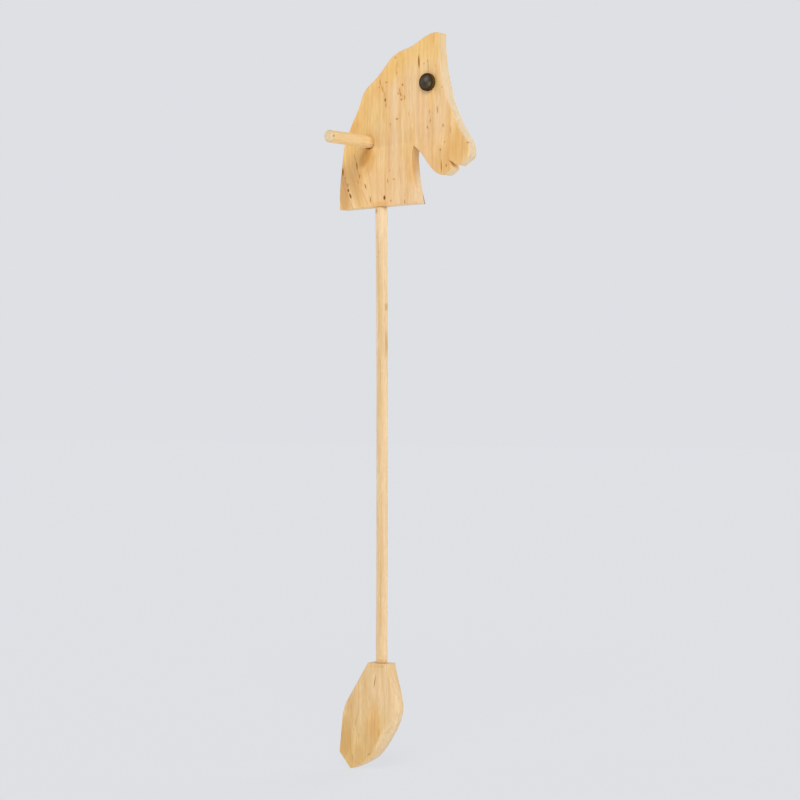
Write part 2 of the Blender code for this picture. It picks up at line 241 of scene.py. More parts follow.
HEAD_PALE = (
    (46, 55, 42, 7, 0.55, 0.02), (72, 60, 70, 5, 0.45),
    (86, 10, 60, 4, 0.35), (48, -20, 40, 12, 0.35),
    (80, -78, 18, 6, 0.6, 0.05), (52, -72, 26, 5, 0.4, 0.05),
    (-28, -82, 18, 3, 0.4, -0.33), (122, 30, 34, 6, 0.25),
    (130, 83, 36, 5.5, 0.5, -0.23), (62, -70, 24, 7, 0.35),
    (18, 12, 26, 15, 0.35), (8, 44, 30, 14, 0.2, 0.1),
    (100, 104, 13, 14, 0.35), (83, 82, 34, 6, 0.4),
    (25, -10, 34, 9, 0.4), (61, 18, 30, 5, 0.35),
)
# Brown marks; the rows at (-30, -30), (-6, -20), (2, -30) and (-20, -52) are the grip's soft shadow on the
# neck, painted
HEAD_BROWN_AND_SHADOW = (
    (-46, -66, 46, 10, 0.75, -0.08), (-28, -60, 34, 10, 0.5, -0.38),
    (-30, -30, 34, 15, 0.4, 0.1), (-6, -20, 18, 11, 0.9, 0.45),
    (132, -36, 22, 17, 0.35), (112, 10, 26, 7, 0.17),
    (20, -30, 60, 26, 0.12), (162, -12, 30, 18, 0.3, 0.25),
    (2, -30, 18, 9, 0.6, 0.3), (-20, -52, 18, 9, 0.3, 0.1),
    (50, -30, 40, 12, 0.12),
)
HEAD_GOLD = (
    (42, 103, 22, 15, 1, 0.3), (64, 120, 14, 16, 1),
    (112, 66, 24, 7, 0.6, 0.1), (121, 80, 18, 5, 0.9),
)
# A stain on the sawn edge low in the throat: its first number is a place along Y
THROAT_STAIN = ((8.8, -87, 9, 2.2, 0.8),)
# Painted shade inside the mouth slot: its sawn faces are kept from the pale edge colour and warmed
MOUTH_SLOT_SHADE = ((152, -40, 7, 11, 0.85),)
THROAT_FRONT = ((86, -52, 26, 14, 1),)
# Painted shade on the neck's sawn edge under the jaw, strong high in the throat and weaker low down
HEAD_THROAT_SHADE = (
    (79, -26, 26, 16, 1), (86, -78, 44, 16, 0.35),
)

# Marks seen on the right side of the foot, given in the same way
FOOT_FLECKS = (
    (10.3, -786.5, 9.5, 0.8, 0.72, 0.17), (-32, -825, 4.4, 1.4, 0.11),
    (-19.5, -834, 6.6, 1, 0.23, 0.07), (-24.5, -848, 7.3, 1, 0.26, 0.15),
    (-28, -859, 2.3, 1.3, 0.21), (-19, -868, 4.7, 1, 0.28),
    (18, -859.5, 5, 1.8, 0.16), (17.5, -840, 8, 1, 0.13),
    (28.5, -840, 6, 1, 0.09), (-0.5, -893, 2.3, 1.8, 0.37, 0.7),
    (-30.5, -899.5, 4.4, 0.9, 0.28), (2, -764.5, 1.3, 1.9, 0.13),
    (24.5, -763.5, 1.3, 1.9, 0.25),
)
FOOT_AMBER = (
    (-5, -800, 24, 3, 0.22), (-17, -808, 6, 4, 0.25),
    (-32, -826, 12, 4, 0.22), (9, -845, 28, 13, 0.4),
    (14, -763.5, 2, 12, 0.45), (-38, -880, 16, 12, 0.12, 0.2),
    (18, -859.5, 7, 3, 0.4),
)
FOOT_PALE = (
    (16, -790, 24, 12, 0.45), (-16, -838, 16, 2, 0.35, 0.12),
    (44, -805, 40, 15, 0.38), (30, -775, 24, 8, 0.4),
    (18.5, -872, 17, 4, 0.4, 0.67), (38, -852, 17, 6, 0.12, 0.5),
)
FOOT_BROWN = (
    (-44, -872, 34, 14, 0.62, 0.05), (-30, -830, 40, 12, 0.27, 0.1),
    (-22, -900, 22, 26, 0.32, 0.2), (6, -872, 34, 18, 0.38),
)

# Marks seen on the right front of the stick, then on the grip, where they are given by z and y
STICK_FLECKS_AND_SHADE = (
    (13, -138.5, 1.4, 1, 0.36), (17, -160, 1.6, 0.8, 0.32),
    (13, -167, 1.4, 1, 0.32), (18.7, -190, 16, 0.8, 0.18),
    (18.7, -344, 40, 0.8, 0.16), (18.7, -670, 44, 0.8, 0.16),
    (24.3, -240, 6, 0.4, 0.36), (24.3, -293, 20, 0.4, 0.32),
    # Painted shade: the neck's shadow on the top of the stick
    (9, -99.5, 3.4, 4.2, 0.72),
)
STICK_AMBER = (
    (22.5, -756, 4, 3, 0.35), (20, -62, 5, 6, 0.3),
    (24, -430, 60, 1.6, 0.25),
)
STICK_PALE = (
    (21.9, -502, 12, 1.4, 0.5), (15.5, -112, 32, 12, 0.75),
)
# Painted shade where the stick meets the foot and the head, the upper mark partly a glue stain
STICK_STAIN_AND_SHADE = (
    (17.5, -756.5, 3.5, 4.5, 0.39), (13, -99, 6, 6, 0.29),
)
GRIP_FLECKS = (
    (1, -105.2, 1.3, 1.1, 0.8), (3.5, -62, 2.2, 0.5, 0.25),
)


def operator(operation, swapped=False):
    """A sum of an output and another value, of vectors if the output is a vector or a colour."""
    def work_out(wire, other):
        way = vector_calc if wire.socket.type in {"VECTOR", "RGBA"} else calc
        return way(operation, other, wire) if swapped else way(operation, wire, other)
    return work_out


class Wire:
    """A node's output, on which sums can be done as on a number or a vector."""

    __add__ = operator("ADD")
    __sub__ = operator("SUBTRACT")
    __rsub__ = operator("SUBTRACT", swapped=True)
    __mul__ = operator("MULTIPLY")
    __truediv__ = operator("DIVIDE")
    __rtruediv__ = operator("DIVIDE", swapped=True)
    __pow__ = operator("POWER")

    def __init__(self, node, name=0):
        self.socket = node.outputs[name]
        self.tree = self.socket.id_data


def feed(socket, value):
    """Join an output to a socket, or set the socket's own value."""
    if isinstance(value, Wire):
        value.tree.links.new(value.socket, socket)
    else:
        socket.default_value = value


def put(tree, kind, inputs=None, **settings):
    """Add one node, with its inputs by name or number, and its settings."""
    node = tree.nodes.new(kind)
    for name, value in settings.items():
        setattr(node, name, value)
    for name, value in (inputs or {}).items():
        feed(node.inputs[name], value)
    return node


def tree_of(values):
    """The tree of the first output among some values."""
    return next(value.tree for value in values if isinstance(value, Wire))


def calc(operation, *values, clamp=False):
    """One sum of numbers."""
    inputs = dict(enumerate(values))
    return Wire(put(tree_of(values), "ShaderNodeMath", inputs, operation=operation, use_clamp=clamp))


def highest(first, *others):
    """The highest of some numbers."""
    for other in others:
        first = calc("MAXIMUM", first, other)
    return first


def vector_calc(operation, *values):
    """One sum of vectors."""
    inputs = dict(enumerate(values))
    node = put(tree_of(values), "ShaderNodeVectorMath", inputs, operation=operation)
    return Wire(node, "Value" if operation == "LENGTH" else "Vector")


def scaled(vector, factor):
    """A vector made longer or shorter by a number."""
    inputs = {0: vector, "Scale": factor}
    return Wire(put(vector.tree, "ShaderNodeVectorMath", inputs, operation="SCALE"))


def split(vector):
    """The three numbers of a vector."""
    node = put(vector.tree, "ShaderNodeSeparateXYZ", {0: vector})
    return [Wire(node, number) for number in range(3)]


def join(x, y, z):
    """A vector from three numbers."""
    return Wire(put(tree_of((x, y, z)), "ShaderNodeCombineXYZ", {0: x, 1: y, 2: z}))


def reach(across, up):
    """The distance from the middle, from two lengths at right angles."""
    return vector_calc("LENGTH", join(across, up, 0.0))


def fade(value, start, end, low=0.0, high=1.0):
    """A smooth step from low at start to high at end."""
    inputs = {"Value": value, "From Min": start, "From Max": end, "To Min": low, "To Max": high}
    return Wire(put(value.tree, "ShaderNodeMapRange", inputs, interpolation_type="SMOOTHSTEP"))


def tint(share, under, over, way="MIX"):
    """Lay one colour over another."""
    tree = tree_of((share, under, over))
    inputs = {0: share, 6: under, 7: over}
    return Wire(put(tree, "ShaderNodeMix", inputs, data_type="RGBA", blend_type=way), 2)


def cloud(vector, stretch, detail=2.0, roughness=0.5, output="Fac"):
    """Soft noise on a stretched vector."""
    inputs = {"Vector": vector * stretch, "Scale": 1.0, "Detail": detail, "Roughness": roughness}
    return Wire(put(vector.tree, "ShaderNodeTexNoise", inputs), output)


def new_group(name, takes, gives, kind="ShaderNodeTree"):
    """An empty node group: each input is given by its default number or by its kind of socket."""
    tree = bpy.data.node_groups.new(name, kind)
    for label, value in takes.items():
        sort = {float: "Float", int: "Int"}.get(type(value), value)
        socket = tree.interface.new_socket(label, in_out="INPUT", socket_type="NodeSocket" + sort)
        if sort != value:
            socket.default_value = value
    for label, sort in gives.items():
        tree.interface.new_socket(label, in_out="OUTPUT", socket_type="NodeSocket" + sort)
    start = tree.nodes.new("NodeGroupInput")
    given = {label: Wire(start, label) for label in takes}
    return tree, given, tree.nodes.new("NodeGroupOutput").inputs


def soft_mark_group():
    """A soft lens-shaped mark on the flat of a board."""
    takes = {"Position": "Vector", "X": 1.0, "Z": 1.0, "Half Length": 1.0, "Half Width": 1.0}
    takes.update({"Lean": 0.0, "Strength": 1.0})
    tree, given, ends = new_group("soft mark", takes, {"Share": "Float"})
    x, _, z = split(given["Position"])
    up = z - given["Z"]
    across = x - given["X"] - up * given["Lean"]
    out = reach(across / given["Half Width"], up / given["Half Length"])
    feed(ends["Share"], fade(out, 1.35, 0.45) * given["Strength"])
    return tree


def marks(group, position, table):
    """The strongest of a table's soft marks at each point."""
    strongest = 0.0
    for row in table:
        inputs = {"Position": position, **dict(zip(MARK_NUMBERS, row))}
        mark = Wire(put(position.tree, "ShaderNodeGroup", inputs, node_tree=group))
        strongest = calc("MAXIMUM", strongest, mark)
    return strongest


def plain_wood_group():
    """Sawn pale wood that is solid through and through, its grain along Z; lengths in millimetres."""
    takes = {"Position": "Vector", "Pith": "Vector"}
    takes.update({label: "Color" for label in WOOD_PARTS})
    takes.update({"Ring Width": 4.0, "Ring Depth": 0.3})
    takes.update({f"{label} Share": 0.0 for label in ("Gold", "Amber", "Pale", "Brown", "Edge", "Fleck")})
    gives = {"Color": "Color", "Height": "Float", "Roughness": "Float"}
    tree, given, ends = new_group("plain wood", takes, gives)

    # The grain wanders a little, and its year rings run round the pith
    drift = cloud(given["Position"], (0.03, 0.03, 0.006), output="Color") - (0.5, 0.5, 0.5)
    grain = given["Position"] + drift * (14, 14, 0)
    from_pith = vector_calc("LENGTH", (grain - given["Pith"]) * (1, 1, 0.02))
    rings = from_pith / given["Ring Width"]
    year = calc("FLOOR", rings)
    through = rings - year
    luck = Wire(put(tree, "ShaderNodeTexWhiteNoise", {"W": year}, noise_dimensions="1D"), "Value")
    late = fade(through, 0.3, 0.86) * fade(through, 1, 0.9) * fade(luck, 0, 1, 0.25, 1)

    # Fibres, hairs, pores and broad parts of another tone, all drawn out along the grain
    fibre = cloud(grain, (1.1, 1.1, 0.016), 4, 0.62)
    hair = cloud(grain, (5.5, 5.5, 0.1), 2, 0.6)
    tone = cloud(grain, (0.075, 0.075, 0.008), 3, 0.55)
    warmth = cloud(grain, (0.045, 0.045, 0.012))
    bands = cloud(grain, (0.21, 0.21, 0.004))
    dapple = cloud(grain, (0.42, 0.42, 0.075), 3, 0.6)
    pore = fade(cloud(grain, (2.8, 2.8, 0.17), 1), 0.66, 0.76)

    # Small flecks in some of the cells of a loose pattern
    spot = put(tree, "ShaderNodeTexVoronoi", {"Vector": grain * (0.085, 0.085, 0.03), "Scale": 1})
    pick, size, _ = split(Wire(spot, "Color"))
    fleck = fade(Wire(spot, "Distance") / (size * 0.075 + 0.03), 1, 0.35)
    fleck = fleck * calc("GREATER_THAN", pick, 0.6) * given["Fleck Share"]

    colour = tint(fade(tone, 0.32, 0.68), given["Paler Wood"], given["Pinker Wood"])
    gold = calc("ADD", fade(warmth, 0.46, 0.66, 0, 0.45), given["Gold Share"], clamp=True)
    colour = tint(gold, colour, given["Golden Wood"])
    colour = tint(given["Amber Share"], colour, WOOD_AMBER)
    colour = tint(given["Pale Share"], colour, WOOD_PALE)
    colour = tint(given["Brown Share"], colour, WOOD_BROWN, "MULTIPLY")
    colour = tint(given["Edge Share"], colour, WOOD_EDGE)
    colour = tint(late * given["Ring Depth"], colour, WOOD_LATE)
    shade = fade(fibre, 0.3, 0.7, 0.91, 1.06) * fade(hair, 0.25, 0.75, 0.96, 1.03)
    shade = shade * fade(bands, 0.3, 0.7, 0.95, 1.04) * fade(dapple, 0.3, 0.65, 0.955, 1.025)
    colour = tint(1, colour, join(shade ** 0.7, shade ** 1.15, shade ** 1.7), "MULTIPLY")
    colour = tint(pore * 0.28, colour, WOOD_LATE)
    feed(ends["Color"], tint(fleck * 0.75, colour, FLECK_WARM))
    feed(ends["Height"], fibre * 0.55 + hair * 0.25 + late * 0.25 - pore * 0.35 - fleck * 0.5)
    feed(ends["Roughness"], pore * 0.1 + (fibre - 0.5) * 0.22 + 0.56)
    return tree


def new_material(name):
    """An empty material and its Principled shader."""
    material = bpy.data.materials.new(name)
    material.use_nodes = True
    return material, material.node_tree.nodes["Principled BSDF"]


def solid_material(name):
    """An empty material, its shader, and object coordinates in millimetres, whole and split."""
    material, shader = new_material(name)
    place = scaled(Wire(put(material.node_tree, "ShaderNodeTexCoord"), "Object"), 1.0 / MM)
    return material, shader, place, *split(place)


def surface(shader, colour, roughness, gloss, height, depth, strength):
    """A shader's colour, roughness and gloss, and its relief of the given depth."""
    feed(shader.inputs["Base Color"], colour)
    feed(shader.inputs["Roughness"], roughness)
    shader.inputs["Specular IOR Level"].default_value = gloss
    relief = {"Height": height, "Distance": depth, "Strength": strength}
    feed(shader.inputs["Normal"], Wire(put(height.tree, "ShaderNodeBump", relief)))


def sanded_wood(shader, wood, tones, dark, settings):
    """Bare sanded wood with a table's dark marks: a little gloss, and fibres that can just be felt."""
    inputs = {**dict(zip(WOOD_PARTS, tones)), **settings}
    made = put(dark.tree, "ShaderNodeGroup", inputs, node_tree=wood)
    left = dark * -0.92 + 1.0
    colour = tint(1.0, Wire(made, "Color"), join(left ** 0.64, left, left ** 1.75), "MULTIPLY")
    height = dark * -0.6 + Wire(made, "Height")
    surface(shader, colour, Wire(made, "Roughness"), WOOD_GLOSS, height, WOOD_RELIEF, 0.6)


# In the woods, a fade runs between two places in millimetres, and then between two strengths


def head_wood(wood, mark):
    """The head's board: golden crest and mane, a pinker face, grain that leans in the low neck, and
    painted shade in the throat, in the mouth and where the grip's shadow falls on the neck.
    """
    material, shader, place, x, y, z = solid_material("head wood")
    near = fade(y, 6, -2)
    edge = fade(calc("ABSOLUTE", y), 9.99, 7.8)
    low = calc("SMOOTH_MIN", z + 28, 0, 20)
    lean = fade(x, 22, -26, 0, 0.42)

    # The sawn edge is paler, but for the throat and the mouth, which get painted shade, darker and warmer
    throat_front = marks(mark, place, THROAT_FRONT) * fade(y, 2, -5)
    throat = marks(mark, place, HEAD_THROAT_SHADE) * edge
    slot = marks(mark, place, MOUTH_SLOT_SHADE)
    bare = edge * (slot * -0.9 + 0.85) * fade(z, 40, 100, 1, 0.6) * (throat_front * -0.8 + 1)
    shaded = highest(throat * 0.65, edge * fade(z, 50, 100, 0, 0.16))

    # Gold on the crest, the mane and the nose, and as the warm hue of the painted shade in the throat and
    # the mouth
    gold = highest(fade(z, 58, 128, 0, 0.8), fade(x, 44, -2, 0, 0.85))
    gold = highest(gold, fade(x, 128, 160, 0, 0.45), marks(mark, place, HEAD_GOLD) * near)
    gold = highest(gold, highest(throat, slot * edge) * 0.7)

    dark = marks(mark, place, HEAD_FLECKS_AND_SHADE) * fade(y, -4, -8)
    amber = highest(marks(mark, place, HEAD_AMBER_AND_SHADOW) * near, fade(dark, 0, 0.28, 0, 0.5))
    settings = {
        "Position": join(low * lean + x, y, z),
        "Pith": (88, 82, 0),
        "Ring Width": 4.2,
        "Ring Depth": fade(x, 35, 85, 0.13, 0.26) * fade(edge, 0, 1, 1, 0.4),
        "Gold Share": gold * fade(z, -58, -8, 0.25, 1),
        "Amber Share": highest(amber, throat_front * 0.25),
        "Pale Share": marks(mark, place, HEAD_PALE) * near,
        "Brown Share": highest(marks(mark, place, HEAD_BROWN_AND_SHADOW) * near, shaded),
        "Edge Share": calc("MULTIPLY_ADD", throat, -0.6, bare, clamp=True),
        "Fleck Share": fade(y, -8, -4, 0.12, 1),
    }
    corner = marks(mark, join(y, 0, z), THROAT_STAIN) * fade(x, 70, 80)
    sanded_wood(shader, wood, HEAD_TONES, highest(dark, corner), settings)
    return material


def foot_wood(wood, mark):
    """The foot's board: browner towards the ground, paler along the bevel that cuts its rings."""
    material, shader, place, x, y, z = solid_material("foot wood")
    near = fade(y, 6, -2)
    # Glue stain and painted shade in a ring round the stick on the top of the foot
    glue_stain_and_shade = fade(reach(x - STICK_X / MM, y), 16, 10) * fade(z, -752.5, -751)
    depth = calc("ABSOLUTE", y)
    bevel = fade(depth, 9.98, 9.5, 0, 0.45) + fade(depth, 9, 5, 0, 0.35)
    bevel = bevel * fade(z, -808, -862, 0.08, 1)
    low_bevel = bevel * fade(z, -848, -882, 0.2, 1.3)
    settings = {
        "Position": place,
        "Pith": (20, 46, 0),
        "Ring Width": 3.6,
        "Ring Depth": 0.17,
        "Gold Share": fade(z, -800, -880, 0.1, 0.65),
        "Amber Share": highest(marks(mark, place, FOOT_AMBER) * near, glue_stain_and_shade),
        "Pale Share": marks(mark, place, FOOT_PALE) * near,
        "Brown Share": highest(marks(mark, place, FOOT_BROWN) * near, low_bevel, glue_stain_and_shade * 0.8),
        "Edge Share": bevel,
        "Fleck Share": fade(y, -8, -4, 0.12, 0.8),
    }
    dark = marks(mark, place, FOOT_FLECKS) * fade(y, -4, -8)
    sanded_wood(shader, wood, FOOT_TONES, dark, settings)
    return material


def stick_wood(wood, mark):
    """The stick's rod: pale and straight in the grain, stained by hands and glue at its ends, with painted
    shade at both joints and painted light down both its sides.
    """
    material, shader, place, x, y, _ = solid_material("stick wood")
    near = fade(y, 5, 1)
    # Painted light: the stick is made paler down its two sides as seen from the right front, as side light
    # and sheen would make it
    front = (x - STICK_X / MM) * 0.8 + y * 0.6
    streak = cloud(place, (0.3, 0.3, 0.006))
    right = fade(front, 0, 4, 0, 0.45) + fade(front, 4, 7.5, 0, 0.55)
    sides = highest(right, fade(front, -4, -7.5)) * fade(streak, 0.25, 0.55, 0.55, 1)
    settings = {
        "Position": place,
        "Pith": (24, 31, 0),
        "Ring Width": 2.9,
        "Ring Depth": 0.17,
        "Gold Share": 0.05,
        "Amber Share": marks(mark, place, STICK_AMBER) * near,
        "Pale Share": highest(marks(mark, place, STICK_PALE) * near, sides),
        "Brown Share": marks(mark, place, STICK_STAIN_AND_SHADE) * near,
        "Fleck Share": 0.35,
    }
    sanded_wood(shader, wood, STICK_TONES, marks(mark, place, STICK_FLECKS_AND_SHADE) * near, settings)
    return material


def grip_wood(wood, mark):
    """The grip's rod: grain along Y, paler on its sawn ends, darker on their worn rims and at the neck,
    with painted shade under it by the neck.
    """
    material, shader, place, x, y, z = solid_material("grip wood")
    along = calc("ABSOLUTE", y)
    grime = cloud(place, (0.16, 0.16, 0.16))
    rim = fade(along, 103.9, 104.5) * fade(along, 105.8, 105) * fade(grime, 0.4, 0.58, 0.45, 1)
    at_neck = fade(along, 23, 10.5, 0, 0.5) * fade(z, -6.5, -1, 0.3, 1)
    # Painted shade: a warmer, deeper tone on the grip's underside next to the neck
    shade_under_neck = fade(along, 28, 12) * fade(z, -4, -8, 0, 0.5)
    turn = {"Vector": place, "Rotation": (math.radians(90), 0, 0)}
    settings = {
        "Position": Wire(put(place.tree, "ShaderNodeMapping", turn)),
        "Pith": (12, 26, 0),
        "Ring Width": 3.1,
        "Ring Depth": 0.14,
        "Gold Share": 0.25,
        "Amber Share": highest(at_neck * 0.6, shade_under_neck),
        "Brown Share": highest(rim, at_neck),
        "Edge Share": fade(along, 105, 105.8) * fade(x, -5, 0, 0.25, 0.85),
        "Fleck Share": 0.35,
    }
    dark = marks(mark, join(z, 0, y), GRIP_FLECKS) * fade(x, -1, 1)
    sanded_wood(shader, wood, GRIP_TONES, dark, settings)
    return material


def eye_lacquer():
    """Dark brown satin lacquer, mottled, with a painted highlight above the middle, painted shade below
    it, a painted reflection low on the right, a darker band round its rim that is a painted dark
    reflection, and painted light on the right of its wall.
    """
    material, shader, place, x, _, z = solid_material("eye lacquer")
    across = x - EYE_MIDDLE[0] / MM
    up = z - EYE_MIDDLE[1] / MM
    out = reach(across, up)
    mottle = cloud(place, (0.35, 0.35, 0.35), 3, 0.6)
    speck = cloud(place, (2.4, 2.4, 2.4), 2, 0.6)
    colour = tint(fade(mottle, 0.38, 0.66), LACQUER_BROWN, LACQUER_DARK)
    # Painted highlight above the middle of the dome
    painted_highlight = fade(reach(across - 1.2, up - 3.4), 5.5, 0.5, 0, 0.8)
    colour = tint(painted_highlight, colour, LACQUER_HIGHLIGHT)
    # Painted shade: a dark patch below the painted highlight
    shaded = fade(reach(across + 1.6, up + 3.6), 5, 1, 0, 0.8)
    colour = tint(shaded, colour, LACQUER_DARK)
    # The worn patch is a painted reflection: the bright room mirrored low on the right, near the rim
    worn = fade(reach(across - 7, up + 4), 5.5, 1) * fade(speck, 0.2, 0.6, 0.6, 1)
    colour = tint(worn * 0.55, colour, LACQUER_REFLECTION)
    # Painted dark reflection: a darker band round the rim, where the rounded edge mirrors the shaded board
    colour = tint(fade(out, 8.6, 10.2), colour, LACQUER_RIM_REFLECTION)
    # Painted light: the wall is paler brown on its right side only, as if lit from the right
    lit_wall = fade(out, 12, 12.5) * fade(across, 4, 11.5)
    colour = tint(lit_wall, colour, LACQUER_LIT_WALL)
    rough = fade(out, 9.6, 10.8) * 0.15 + fade(speck, 0.3, 0.7, 0.38, 0.5)
    surface(shader, colour, rough, LACQUER_GLOSS, speck, LACQUER_RELIEF, 0.4)
    return material


def seen_directly(tree):
    """One for camera, mirror and glass rays, else nought."""
    ray = put(tree, "ShaderNodeLightPath")
    return highest(*(Wire(ray, f"Is {kind} Ray") for kind in ("Camera", "Glossy", "Transmission")))


def pale_floor():
    """A floor that looks as pale as the backdrop and keeps the toy's soft shadow."""
    material, shader = new_material("pale floor")
    tree = material.node_tree
    shader.inputs["Base Color"].default_value = FLOOR_WHITE
    shader.inputs["Roughness"].default_value = 0.9
    shader.inputs["Emission Color"].default_value = FLOOR_WHITE
    shader.inputs["Emission Strength"].default_value = FLOOR_BOUNCE
    glow = Wire(put(tree, "ShaderNodeEmission", {"Color": PALE_GREY, "Strength": FLOOR_GLOW}))
    parts = {0: seen_directly(tree) * FLOOR_EVENNESS, 1: Wire(shader), 2: glow}
    mixed = Wire(put(tree, "ShaderNodeMixShader", parts))
    feed(tree.nodes["Material Output"].inputs["Surface"], mixed)
    return material


def welded(node):
    """A solid's mesh with its loose triangles joined at their corners."""
    bm = bmesh.new()
    bm.from_mesh(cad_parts[node].data)
    bmesh.ops.remove_doubles(bm, verts=bm.verts, dist=SOLID_WELD)
    return bm


def section_loops(node, height):
    """Closed outlines of a board at one height of Y, as points (x, z), the longest first."""
    bm = welded(node)
    parts = bm.verts[:] + bm.edges[:] + bm.faces[:]
    cut = bmesh.ops.bisect_plane(bm, geom=parts, plane_co=(0.0, height, 0.0), plane_no=(0.0, 1.0, 0.0))
    edges = [item for item in cut["geom_cut"] if isinstance(item, bmesh.types.BMEdge)]
    waiting = set(edges)
    loops = []
    for first in edges:
        if first not in waiting:
            continue
        waiting.discard(first)
        vert = first.verts[1]
        loop = [first.verts[0], vert]
        onward = [item for item in vert.link_edges if item in waiting]
        while onward:
            waiting.discard(onward[0])
            vert = onward[0].other_vert(vert)
            loop.append(vert)
            onward = [item for item in vert.link_edges if item in waiting]
        loops.append([Vector((item.co.x, item.co.z)) for item in loop[:-1]])
    bm.free()
    return sorted(loops, key=loop_length, reverse=True)


def loop_length(loop):
    """How far it is round a closed loop."""
    return sum((b - a).length for a, b in zip(loop, loop[1:] + loop[:1]))


def turn_at(before, point, after):
    """How much a line turns at a point, in radians."""
    arriving = point - before
    leaving = after - point
    if arriving.length < 1e-7 or leaving.length < 1e-7:
        return 0.0
    return abs(arriving.angle_signed(leaving, 0.0))


def without_midpoints(loop):
    """A closed loop without the points on a straight line between their neighbours."""
    steps = [(point - loop[index - 1]).length for index, point in enumerate(loop)]
    apart = [point for point, step in zip(loop, steps) if step > SHORTEST_STEP]
    kept = []
    for index, point in enumerate(apart):
        if turn_at(apart[index - 1], point, apart[(index + 1) % len(apart)]) > STRAIGHT_TURN:
            kept.append(point)
    return kept


def smooth_run(knots):
    """Points along a smooth curve through the knots, its last knot left out."""
    guide = [knots[0] * 2.0 - knots[1], *knots, knots[-1] * 2.0 - knots[-2]]
    points = []
    for index in range(1, len(guide) - 2):
        before, start, end, after = guide[index - 1:index + 3]
        arriving = math.sqrt((start - before).length)
        span = math.sqrt((end - start).length)
        leaving = math.sqrt((after - end).length)
        chord = (end - start) / span
        start_slope = (start - before) / arriving - (end - before) / (arriving + span) + chord
        end_slope = chord - (after - start) / (span + leaving) + (after - end) / leaving
        steps = max(1, round((end - start).length / OUTLINE_STEP))
        for number in range(steps):
            t = number / steps
            rise = t * t * (3.0 - 2.0 * t)
            bend = span * (t * (1.0 - t) ** 2 * start_slope - t * t * (1.0 - t) * end_slope)
            points.append(start + (end - start) * rise + bend)
    return points


def worn_corner(before, corner, after):
    """A few points that take a sharp corner off by CORNER_WEAR or less on each side."""
    shorter = min((before - corner).length, (after - corner).length)
    wear = min(CORNER_WEAR, CORNER_SHARE * shorter)
    start = corner + (before - corner).normalized() * wear
    end = corner + (after - corner).normalized() * wear
    points = []
    for number in range(CORNER_STEPS + 1):
        t = number / CORNER_STEPS
        points.append(start * (1.0 - t) ** 2 + corner * 2.0 * t * (1.0 - t) + end * t * t)
    return points


def refined(line):
    """A closed line with smooth curves between its corners, and the places of those corners."""
    count = len(line)
    turns = [turn_at(line[index - 1], line[index], line[(index + 1) % count]) for index in range(count)]
    corners = [index for index, turn in enumerate(turns) if turn > CORNER_TURN]
    line = line[corners[0]:] + line[:corners[0]] + [line[corners[0]]]
    corners = [index - corners[0] for index in corners] + [count]
    runs = [smooth_run(line[first:last + 1]) for first, last in zip(corners, corners[1:])]
    points = []
    for index, run in enumerate(runs):
        following = [*run, *runs[(index + 1) % len(runs)]]
        points += worn_corner(runs[index - 1][-1], run[0], following[1])
        points += run[1:]
    return points, [line[index] for index in corners[:-1]]


def gap_to_line(point, line):
    """The distance from a point to a closed line."""
    least = 1.0
    for a, b in zip(line, line[1:] + line[:1]):
        along = b - a
        share = max(0.0, min(1.0, (point - a).dot(along) / along.length_squared))
        least = min(least, (a + along * share - point).length)
    return least


def inward(line):
    """The direction into the board at each point of its outline, lengthened as a mitre is."""
    area = sum(a.x * b.y - b.x * a.y for a, b in zip(line, line[1:] + line[:1]))
    side = 1.0 if area > 0.0 else -1.0
    directions = []
    for index, point in enumerate(line):
        arriving = (point - line[index - 1]).normalized()
        leaving = (line[(index + 1) % len(line)] - point).normalized()
        turn = (arriving + leaving).normalized()
        mitre = min(MITRE_LIMIT, 1.0 / max(0.1, turn.dot(arriving)))
        directions.append(Vector((-turn.y, turn.x)) * side * mitre)
    return directions


def new_item(name, data):
    """A new item in the scene."""
    item = bpy.data.objects.new(name, data)
    bpy.context.scene.collection.objects.link(item)
    return item


def point_item(name, points, vectors=(), numbers=()):
    """Loose points that a shape is grown from, with a vector and a number at each."""
    mesh = bpy.data.meshes.new(name)
    mesh.from_pydata(points, [], [])
    if vectors:
        layer = mesh.attributes.new("inset", "FLOAT_VECTOR", "POINT")
        layer.data.foreach_set("vector", [number for vector in vectors for number in vector])
        layer = mesh.attributes.new("edge depth", "FLOAT", "POINT")
        layer.data.foreach_set("value", numbers)
    return new_item(name, mesh)


def grid_place(rows, columns):
    """A grid of points, and each point's row and column number."""
    inputs = {"Size X": 1.0, "Size Y": 1.0, "Vertices X": rows, "Vertices Y": columns}
    grid = put(rows.tree, "GeometryNodeMeshGrid", inputs)
    u, v, _ = split(Wire(grid, "UV Map"))
    return Wire(grid, "Mesh"), calc("ROUND", u * (rows - 1.0)), calc("ROUND", v * (columns - 1.0))


def point_count(points):
    """How many loose points there are."""
    node = put(points.tree, "GeometryNodeAttributeDomainSize", {"Geometry": points})
    return Wire(node, "Point Count")


def point_value(points, kind, value, index):
    """A value of the loose points, read by the point's number."""
    inputs = {"Geometry": points, "Value": value, "Index": index}
    settings = {"data_type": kind, "domain": "POINT", "clamp": True}
    return Wire(put(points.tree, "GeometryNodeSampleIndex", inputs, **settings))


def named_value(tree, kind, label):
    """A named value of the loose points."""
    return Wire(put(tree, "GeometryNodeInputNamedAttribute", {"Name": label}, data_type=kind))


def uneven(place, length, seed):
    """Soft noise from nought to one, in spots of about the given length."""
    inputs = {"Vector": place / join(length, length, length), "W": seed, "Scale": 1.0, "Detail": 2.0}
    return Wire(put(place.tree, "ShaderNodeTexNoise", inputs, noise_dimensions="4D"))


def moved(shape, place):
    """A shape with its points set to new places."""
    return Wire(put(shape.tree, "GeometryNodeSetPosition", {"Geometry": shape, "Position": place}))


